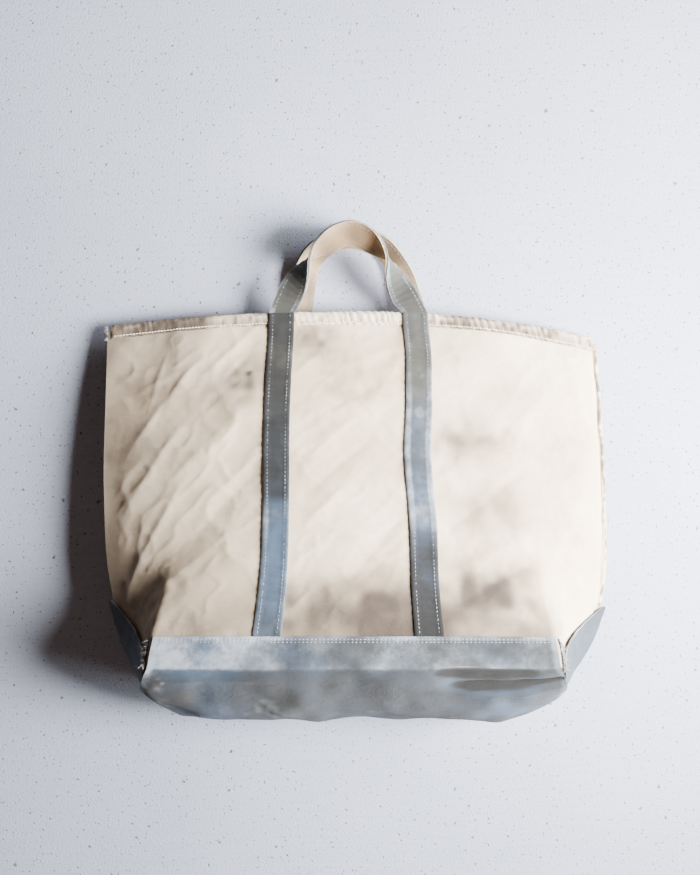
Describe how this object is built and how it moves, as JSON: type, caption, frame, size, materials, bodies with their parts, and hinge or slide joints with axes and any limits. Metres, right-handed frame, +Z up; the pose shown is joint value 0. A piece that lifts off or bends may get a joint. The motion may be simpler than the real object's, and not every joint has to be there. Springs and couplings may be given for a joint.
{
  "type": "canvas tote bag",
  "caption": "Soft open-topped carrying bag of heavy canvas with boxed corners, a coloured base band, sewn straps and loop handles, lying on its back.",
  "frame": {"origin": "middle of the bag's outline on the surface that it lies on", "axes": "+Y from the base towards the handles, +X to the right side seam, +Z up from the back wall to the front wall"},
  "size_m": [0.563, 0.5326, 0.1377],
  "materials": {
    "natural_canvas": "washed and worn undyed cotton duck",
    "worn_blue_canvas": "faded blue-grey cotton duck, scuffed",
    "handle_lining_canvas": "handled undyed canvas, tanned by use"
  },
  "bodies": {
    "bag": {"back_panel": "natural_canvas", "back_hem": "natural_canvas", "back_band": "worn_blue_canvas", "back_strap_left": "worn_blue_canvas", "back_strap_right": "worn_blue_canvas", "base_lining": "natural_canvas", "base_panel": "worn_blue_canvas", "left_side_front": "natural_canvas", "left_side_back": "natural_canvas", "right_side_front": "natural_canvas", "right_side_back": "natural_canvas", "left_side_seam": "natural_canvas", "right_side_seam": "natural_canvas", "left_side_band": "worn_blue_canvas", "right_side_band": "worn_blue_canvas", "left_corner_ear": "worn_blue_canvas", "right_corner_ear": "worn_blue_canvas"},
    "front_wall": {"front_panel": "natural_canvas", "front_hem": "natural_canvas", "front_band": "worn_blue_canvas", "front_strap_left": "worn_blue_canvas", "front_strap_right": "worn_blue_canvas"},
    "front_grip": {"front_handle": "worn_blue_canvas", "front_handle_lining": "handle_lining_canvas"},
    "back_grip": {"back_handle": "worn_blue_canvas", "back_handle_lining": "handle_lining_canvas"}
  },
  "joints": [
    {"name": "mouth_opening", "type": "hinge", "parent": "bag", "child": "front_wall", "pos_m": [0, -0.1891, 0.1392], "axis": [1, 0, 0], "range_deg": [0, 14]},
    {"name": "front_handle_fold", "type": "hinge", "parent": "front_wall", "child": "front_grip", "pos_m": [0, 0.1682, 0.035], "axis": [1, 0, 0], "range_deg": [0, 130]},
    {"name": "back_handle_fold", "type": "hinge", "parent": "bag", "child": "back_grip", "pos_m": [0, 0.1397, -0.0005], "axis": [1, 0, 0], "range_deg": [-165, 0]}
  ]
}
